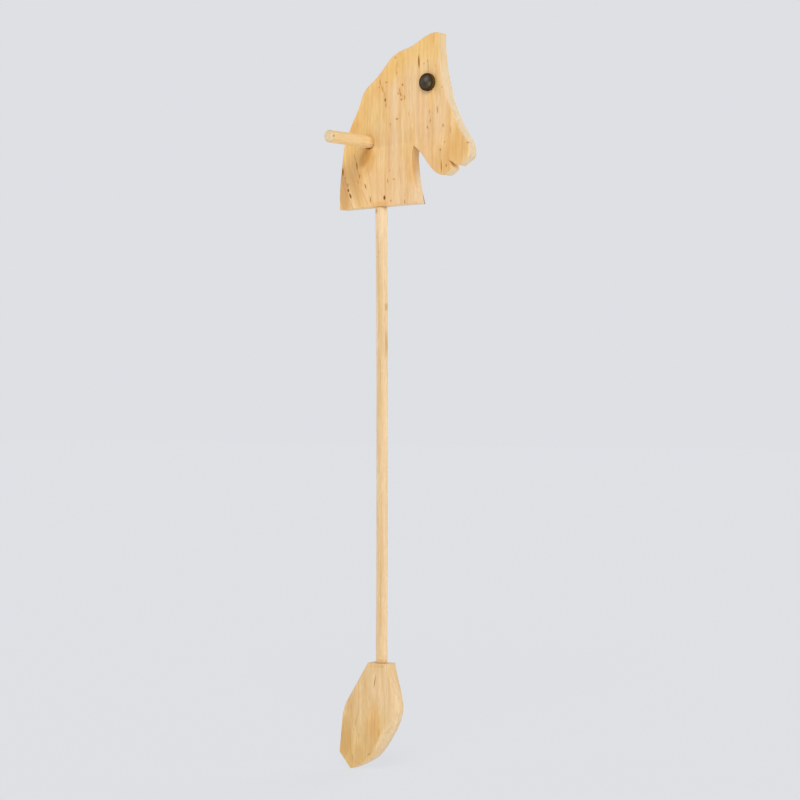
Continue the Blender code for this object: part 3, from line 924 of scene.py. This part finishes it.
def close_tree(ends, shape, material):
    """Weld, smooth and realize the shape, and give it its material."""
    steps = (
        ("GeometryNodeMergeByDistance", {"Distance": WELD_DISTANCE}),
        ("GeometryNodeSetShadeSmooth", {}),
        ("GeometryNodeRealizeInstances", {}),
        ("GeometryNodeSetMaterial", {"Material": material}),
    )
    for kind, inputs in steps:
        shape = Wire(put(shape.tree, kind, {"Geometry": shape, **inputs}))
    feed(ends["Geometry"], shape)


def eased_board_tree():
    """A board between two flat faces, its edge rounded or bevelled alike towards both."""
    takes = {"Geometry": "Geometry", "Thickness": 0.02, "Edge Steps": 6, "Edge Fullness": 1.5}
    takes.update({"Support Share": 0.25, "Ripple Height": 0.0001, "Ripple Length": 0.01})
    takes.update({"Seed": 1.0, "Material": "Material"})
    tree, given, ends = new_group("eased board", takes, {"Geometry": "Geometry"}, "GeometryNodeTree")
    outline = given["Geometry"]
    corner = Wire(put(tree, "GeometryNodeInputPosition"))
    inset = named_value(tree, "FLOAT_VECTOR", "inset")
    edge_depth = named_value(tree, "FLOAT", "edge depth")
    half = given["Thickness"] * 0.5
    count = point_count(outline)

    def placed(index, width_share, depth_share, side, ripple):
        """Where a point of the outline goes, at shares of its edge's width and depth."""
        start = point_value(outline, "FLOAT_VECTOR", corner, index)
        into = point_value(outline, "FLOAT_VECTOR", inset, index)
        depth = point_value(outline, "FLOAT", edge_depth, index)
        height = (half - depth * depth_share) * side
        place = start + scaled(into, width_share) + join(0.0, height, 0.0)
        worn = uneven(place, given["Ripple Length"], given["Seed"]) * ripple
        return place + scaled(vector_calc("NORMALIZE", into), worn)

    steps = given["Edge Steps"]
    rows = steps * 2.0 + 4.0
    band, row, column = grid_place(rows, count + 1.0)
    column = calc("MODULO", column, count)
    side = calc("GREATER_THAN", row, steps + 1.5) * 2.0 - 1.0
    ring = calc("MINIMUM", row, rows - 1.0 - row)
    turn = highest((ring - 1.0) / steps, 0.0) * (0.5 * math.pi)
    power = 2.0 / given["Edge Fullness"]
    width_left = 1.0 - calc("SINE", turn) ** power
    depth_left = 1.0 - highest(calc("COSINE", turn), 0.0) ** power
    ripple = given["Ripple Height"] * (1.0 - width_left)
    support = calc("LESS_THAN", ring, 0.5) * given["Support Share"]
    shapes = [moved(band, placed(column, width_left + support, depth_left, side, ripple))]
    for sign in (-1.0, 1.0):
        disc = Wire(put(tree, "GeometryNodeMeshCircle", {"Vertices": count}, fill_type="NGON"))
        index = Wire(put(tree, "GeometryNodeInputIndex"))
        shapes.append(moved(disc, placed(index, given["Support Share"] + 1.0, 0.0, sign, 0.0)))
    whole = put(tree, "GeometryNodeJoinGeometry")
    for shape in shapes:
        feed(whole.inputs[0], shape)
    close_tree(ends, Wire(whole), given["Material"])
    return tree


def turned_piece_tree():
    """A half profile turned about Z, a little uneven, and bowed between two heights."""
    takes = {"Geometry": "Geometry", "Sides": 64, "Unevenness": 0.0, "Unevenness Length": 0.03}
    takes.update({"Bow": "Vector", "Bow Low": 0.0, "Bow High": 1.0, "Seed": 1.0, "Material": "Material"})
    tree, given, ends = new_group("turned piece", takes, {"Geometry": "Geometry"}, "GeometryNodeTree")
    profile = given["Geometry"]
    sides = given["Sides"]
    skin, row, column = grid_place(point_count(profile), sides + 1.0)
    turn = calc("MODULO", column, sides) / sides * (2.0 * math.pi)
    spoke = join(calc("COSINE", turn), calc("SINE", turn), 0.0)
    here = Wire(put(tree, "GeometryNodeInputPosition"))
    radius, _, height = split(point_value(profile, "FLOAT_VECTOR", here, row))
    place = join(0.0, 0.0, height) + scaled(spoke, radius)
    dip = uneven(place, given["Unevenness Length"], given["Seed"]) * given["Unevenness"]
    place = place - scaled(spoke, dip * calc("GREATER_THAN", radius, AXIS_RADIUS))
    inputs = {"Value": height, "From Min": given["Bow Low"], "From Max": given["Bow High"]}
    along = Wire(put(tree, "ShaderNodeMapRange", inputs))
    place = place + scaled(given["Bow"], along * (1.0 - along) * 4.0)
    close_tree(ends, moved(skin, place), given["Material"])
    return tree


def grown(item, tree, values):
    """Grow a shape from an item's points, and leave it as a plain mesh."""
    modifier = item.modifiers.new(tree.name, "NODES")
    modifier.node_group = tree
    sockets = [socket for socket in tree.interface.items_tree if socket.in_out == "INPUT"]
    keys = {socket.name: socket.identifier for socket in sockets}
    for name, value in values.items():
        modifier[keys[name]] = value
    return settled(item)


def settled(item):
    """Make an item's modified shape its own mesh, with its modifiers taken off."""
    bpy.context.view_layer.update()
    shown = item.evaluated_get(bpy.context.evaluated_depsgraph_get())
    mesh = bpy.data.meshes.new_from_object(shown)
    item.modifiers.clear()
    item.data = mesh
    return item


def faced(item):
    """Weld an item's mesh, point its faces outwards and keep its real corners crisp."""
    bm = bmesh.new()
    bm.from_mesh(item.data)
    bmesh.ops.remove_doubles(bm, verts=bm.verts, dist=WELD_DISTANCE)
    bmesh.ops.recalc_face_normals(bm, faces=bm.faces)
    bm.to_mesh(item.data)
    bm.free()
    item.data.shade_smooth()
    item.data.set_sharp_from_angle(angle=SHARP_TURN)
    return item


def turned(name, tree, profile, axis, start, sides, material, unevenness=0.0, bow=None):
    """Turn a half profile of (radius, height), and lay it along an axis from a start."""
    item = point_item(name, [(radius, 0.0, height) for radius, height in profile])
    values = {"Sides": sides, "Unevenness": unevenness, "Seed": float(len(name)), "Material": material}
    if bow:
        values["Bow"], values["Bow Low"], values["Bow High"] = bow
    grown(item, tree, values)
    turn = UPWARD.rotation_difference(axis).to_matrix().to_4x4()
    item.data.transform(Matrix.Translation(start) @ turn)
    return faced(item)


def rod_line(radius_start, radius_end, start, end, waist=0.0):
    """Points down the side of a rod, near enough for its slight unevenness."""
    steps = max(1, round(abs(end - start) / ROD_STEP))
    line = []
    for number in range(steps + 1):
        share = number / steps
        radius = radius_start + (radius_end - radius_start) * share - 4.0 * waist * share * (1.0 - share)
        line.append((radius, start + (end - start) * share))
    return line


def round_over(radius, height, wear, sign):
    """A worn outer corner of a rod's end, from the end face to its side."""
    points = []
    for number in range(CORNER_STEPS + 1):
        angle = 0.5 * math.pi * number / CORNER_STEPS
        across = radius - wear + wear * math.sin(angle)
        points.append((across, height - sign * (wear - wear * math.cos(angle))))
    return points


def drilled(item, tree, holes, wood):
    """Drill round holes, each given by its mouth, axis, depth and radius, with softened mouths."""
    bits = []
    for mouth, axis, depth, radius in holes:
        profile = [
            (0.0, -DRILL_CLEARANCE),
            (radius + HOLE_WEAR + DRILL_CLEARANCE, -DRILL_CLEARANCE),
            (radius + HOLE_WEAR, 0.0),
            (radius + 0.3 * HOLE_WEAR, 0.35 * HOLE_WEAR),
            (radius, HOLE_WEAR),
            (radius, depth),
            (0.0, depth),
        ]
        bits.append(turned("drill", tree, profile, axis, mouth, ROD_SIDES, wood))
    for bit in bits:
        cut = item.modifiers.new("drill", "BOOLEAN")
        cut.solver = "EXACT"
        cut.object = bit
    settled(item)
    for bit in bits:
        bpy.data.objects.remove(bit)
    return item


def eased_board(name, tree, line, widths, depths, numbers, material):
    """Grow a board from its outline, its edge's widths and depths at the points, and its numbers."""
    points = [(point.x, 0.0, point.y) for point in line]
    insets = []
    for direction, width in zip(inward(line), widths):
        insets.append((direction.x * width, 0.0, direction.y * width))
    values = dict(zip(("Thickness", "Edge Steps", "Edge Fullness", "Seed"), numbers))
    values.update({"Support Share": SUPPORT_SHARE, "Ripple Height": EDGE_RIPPLE})
    values.update({"Ripple Length": RIPPLE_LENGTH, "Material": material})
    return grown(point_item(name, points, insets, depths), tree, values)


def tapered_easing(point, corners, easing):
    """An easing that runs out towards the nearest sharp corner."""
    nearest = min((point - corner).length for corner in corners)
    return min(easing, LEAST_EASING + EASING_RUN * nearest)


def hole_of(loop):
    """The middle and the radius of a round hole, from its loop."""
    middle = sum(loop, Vector((0.0, 0.0))) / len(loop)
    return middle, max((point - middle).length for point in loop)


def make_head(board_tree, turned_tree, wood):
    """The head and neck board, drilled for the grip, the stick and both eyes."""
    low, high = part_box("head_board")
    loops = section_loops("head_board", HEAD_SECTION)
    line, corners = refined(without_midpoints(loops[0]))
    widths = [tapered_easing(point, corners, HEAD_EASING) for point in line]
    numbers = (high.y - low.y, HEAD_EDGE_STEPS, HEAD_FULLNESS, HEAD_SEED)
    head = eased_board("head", board_tree, line, widths, widths, numbers, wood)
    holes = []
    for loop in loops[1:]:
        middle, radius = hole_of(loop)
        for side in (-1.0, 1.0):
            mouth = Vector((middle.x, side * high.y, middle.y))
            depth = high.y + DRILL_OVERLAP if radius > GRIP_HOLE_LEAST else high.y - EYE_WEB
            holes.append((mouth, ACROSS * -side, depth, radius))
    mouth = Vector((STICK_X, 0.0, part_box("stick")[1].z - NECK_TENON_LENGTH))
    depth = NECK_TENON_LENGTH + 2.0 * GLUE_GAP
    holes.append((mouth, UPWARD, depth, TENON_HOLE_RADIUS))
    return faced(drilled(head, turned_tree, holes, wood))


def make_foot(board_tree, turned_tree, wood):
    """The foot board, its front edge bevelled in a widening curve, drilled for the stick."""
    low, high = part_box("foot_board")
    whole = section_loops("foot_board", FOOT_SECTION)[0]
    face = section_loops("foot_board", high.y - FOOT_FACE_DEPTH)[0]
    socket_floor = high.z - FOOT_TENON_LENGTH - MM
    clear = SOCKET_WIDENING * TENON_HOLE_RADIUS
    outer = [point for point in whole if abs(point.x - STICK_X) > clear or point.y < socket_floor]
    line, corners = refined(without_midpoints(outer))
    widths = []
    depths = []
    for point in line:
        width = gap_to_line(point, face)
        eased = tapered_easing(point, corners, max(width, FOOT_EASING))
        widths.append(eased)
        depths.append(max(min(eased, FOOT_EASING), FOOT_BEVEL_RISE * eased))
    numbers = (high.y - low.y, FOOT_EDGE_STEPS, FOOT_FULLNESS, FOOT_SEED)
    foot = eased_board("foot", board_tree, line, widths, depths, numbers, wood)
    mouth = Vector((STICK_X, 0.0, high.z))
    holes = [(mouth, -UPWARD, FOOT_TENON_LENGTH + GLUE_GAP, TENON_HOLE_RADIUS)]
    return faced(drilled(foot, turned_tree, holes, wood))


def make_stick(turned_tree, wood):
    """The long stick, thinner towards the foot, very slightly bowed, with a tenon at each end."""
    low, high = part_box("stick")
    top = 0.5 * (high.x - low.x) - BOX_MARGIN
    foot = top - 0.5 * STICK_TAPER
    tenon = 0.5 * TENON_DIAMETER
    shoulder = high.z - NECK_TENON_LENGTH + SEAT_GAP
    heel = low.z + FOOT_TENON_LENGTH - SEAT_GAP
    chamfer = TENON_CHAMFER
    profile = [(0.0, high.z), (tenon - chamfer, high.z), (tenon, high.z - chamfer)]
    profile += [(tenon, shoulder), *round_over(top, shoulder, SHOULDER_WEAR, 1.0)]
    profile += rod_line(top, foot, shoulder - SHOULDER_WEAR, heel + SHOULDER_WEAR, STICK_WAIST)[1:-1]
    profile += [*reversed(round_over(foot, heel, SHOULDER_WEAR, -1.0)), (tenon, heel)]
    profile += [(tenon, low.z + chamfer), (tenon - chamfer, low.z), (0.0, low.z)]
    place = Vector((STICK_X, 0.0, 0.0))
    bow = (STICK_BOW, heel, shoulder)
    return turned("stick_rod", turned_tree, profile, UPWARD, place, ROD_SIDES, wood, ROD_UNEVENNESS, bow)


def make_grip(turned_tree, wood):
    """The hand grip through the neck, its two ends chamfered, and a trace of an upward bend."""
    low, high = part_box("hand_grip")
    radius = 0.5 * (high.x - low.x) - BOX_MARGIN
    half = high.y
    chamfer = [
        (radius - GRIP_CHAMFER - 0.2 * MM, half),
        (radius - GRIP_CHAMFER + 0.1 * MM, half - 0.15 * MM),
        (radius - 0.2 * MM, half - GRIP_CHAMFER + 0.1 * MM),
        (radius, half - GRIP_CHAMFER - 0.5 * MM),
    ]
    profile = [(0.0, half), *chamfer]
    profile += rod_line(radius, radius, chamfer[-1][1], -chamfer[-1][1])[1:-1]
    profile += [(across, -along) for across, along in reversed(chamfer)] + [(0.0, -half)]
    lift = UPWARD * GRIP_LIFT
    bow = (-lift, -half, half)
    return turned("grip_rod", turned_tree, profile, ACROSS, lift, ROD_SIDES, wood, ROD_UNEVENNESS, bow)


def make_eye(name, node, side, turned_tree, lacquer):
    """A turned eye button: a thick rounded rim, a low dome, and a stem in the cheek."""
    low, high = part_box(node)
    seat = 0.5 * HEAD_THICKNESS + SEAT_GAP
    crown = max(abs(low.y), abs(high.y)) - seat
    stem_end = min(abs(low.y), abs(high.y)) - seat
    radius = 0.5 * (high.x - low.x) - BOX_MARGIN
    dome = radius - EYE_RIM_ROUNDING
    steps = round(dome / EYE_STEP)
    profile = []
    for number in range(steps):
        share = number / steps
        profile.append((dome * share, EYE_RIM_HEIGHT + (crown - EYE_RIM_HEIGHT) * (1.0 - share ** 2)))
    for number in range(EYE_RIM_STEPS):
        angle = math.radians(90.0 * (number + 1) / EYE_RIM_STEPS)
        across = EYE_RIM_ROUNDING * math.sin(angle)
        profile.append((dome + across, EYE_RIM_HEIGHT - EYE_RIM_ROUNDING * (1.0 - math.cos(angle))))
    stem = 0.5 * EYE_STEM_DIAMETER
    profile += [(radius, EYE_FOOT_CHAMFER), (radius - EYE_FOOT_CHAMFER, 0.0), (stem, 0.0)]
    profile += [(stem, stem_end), (0.0, stem_end)]
    start = Vector((EYE_MIDDLE[0], side * seat, EYE_MIDDLE[1]))
    return turned(name, turned_tree, profile, ACROSS * side, start, EYE_SIDES, lacquer, EYE_UNEVENNESS)


def dress(item, node):
    """Let a finished piece stand for its solid: it joins the toy's body and the solid is hidden."""
    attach(item, BODY)
    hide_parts(node)


def light_the_room():
    """Soft, even studio light, with the brighter side at the toy's right front."""
    world = bpy.data.worlds.new("room light")
    world.use_nodes = True
    tree = world.node_tree
    back = tree.nodes["Background"]
    level = (ROOM_LIGHT, ROOM_LIGHT, ROOM_LIGHT, 1.0)
    feed(back.inputs["Color"], tint(seen_directly(tree), level, PALE_GREY))
    back.inputs["Strength"].default_value = 1.0
    bpy.context.scene.world = world
    for name, azimuth, elevation, strength, spread in LAMPS:
        lamp = bpy.data.lights.new(name, "SUN")
        lamp.energy = strength
        lamp.angle = math.radians(spread)
        turn = (math.radians(90.0 - elevation), 0.0, math.radians(azimuth))
        new_item(name, lamp).rotation_euler = turn


def lay_the_floor():
    """A wide pale floor just under the tip of the foot."""
    mesh = bpy.data.meshes.new("floor")
    depth = SOLID_BOX[0].z - FLOOR_DROP
    sides = ((-1.0, -1.0), (1.0, -1.0), (1.0, 1.0), (-1.0, 1.0))
    corners = [(x * FLOOR_REACH, y * FLOOR_REACH, depth) for x, y in sides]
    mesh.from_pydata(corners, [], [(0, 1, 2, 3)])
    mesh.materials.append(pale_floor())
    new_item("floor", mesh)


def place_camera():
    """The photograph's viewpoint: level, from the toy's right front."""
    lens = bpy.data.cameras.new("camera")
    lens.lens = CAMERA_LENS
    lens.sensor_width = 36.0
    lens.clip_end = 100.0
    item = new_item("camera", lens)
    item.location = CAMERA_PLACE
    item.rotation_euler = (math.radians(90.0), 0.0, CAMERA_TURN)
    bpy.context.scene.camera = item


def build():
    """Make and dress every piece, then set the room round the toy."""
    wood = plain_wood_group()
    mark = soft_mark_group()
    board_tree = eased_board_tree()
    turned_tree = turned_piece_tree()
    lacquer = eye_lacquer()
    dress(make_head(board_tree, turned_tree, head_wood(wood, mark)), "head_board")
    dress(make_foot(board_tree, turned_tree, foot_wood(wood, mark)), "foot_board")
    dress(make_stick(turned_tree, stick_wood(wood, mark)), "stick")
    dress(make_grip(turned_tree, grip_wood(wood, mark)), "hand_grip")
    dress(make_eye("right_eye_button", "eye_right", -1.0, turned_tree, lacquer), "eye_right")
    dress(make_eye("left_eye_button", "eye_left", 1.0, turned_tree, lacquer), "eye_left")
    lay_the_floor()
    light_the_room()
    place_camera()
    bpy.context.scene.view_settings.view_transform = "Standard"


build()
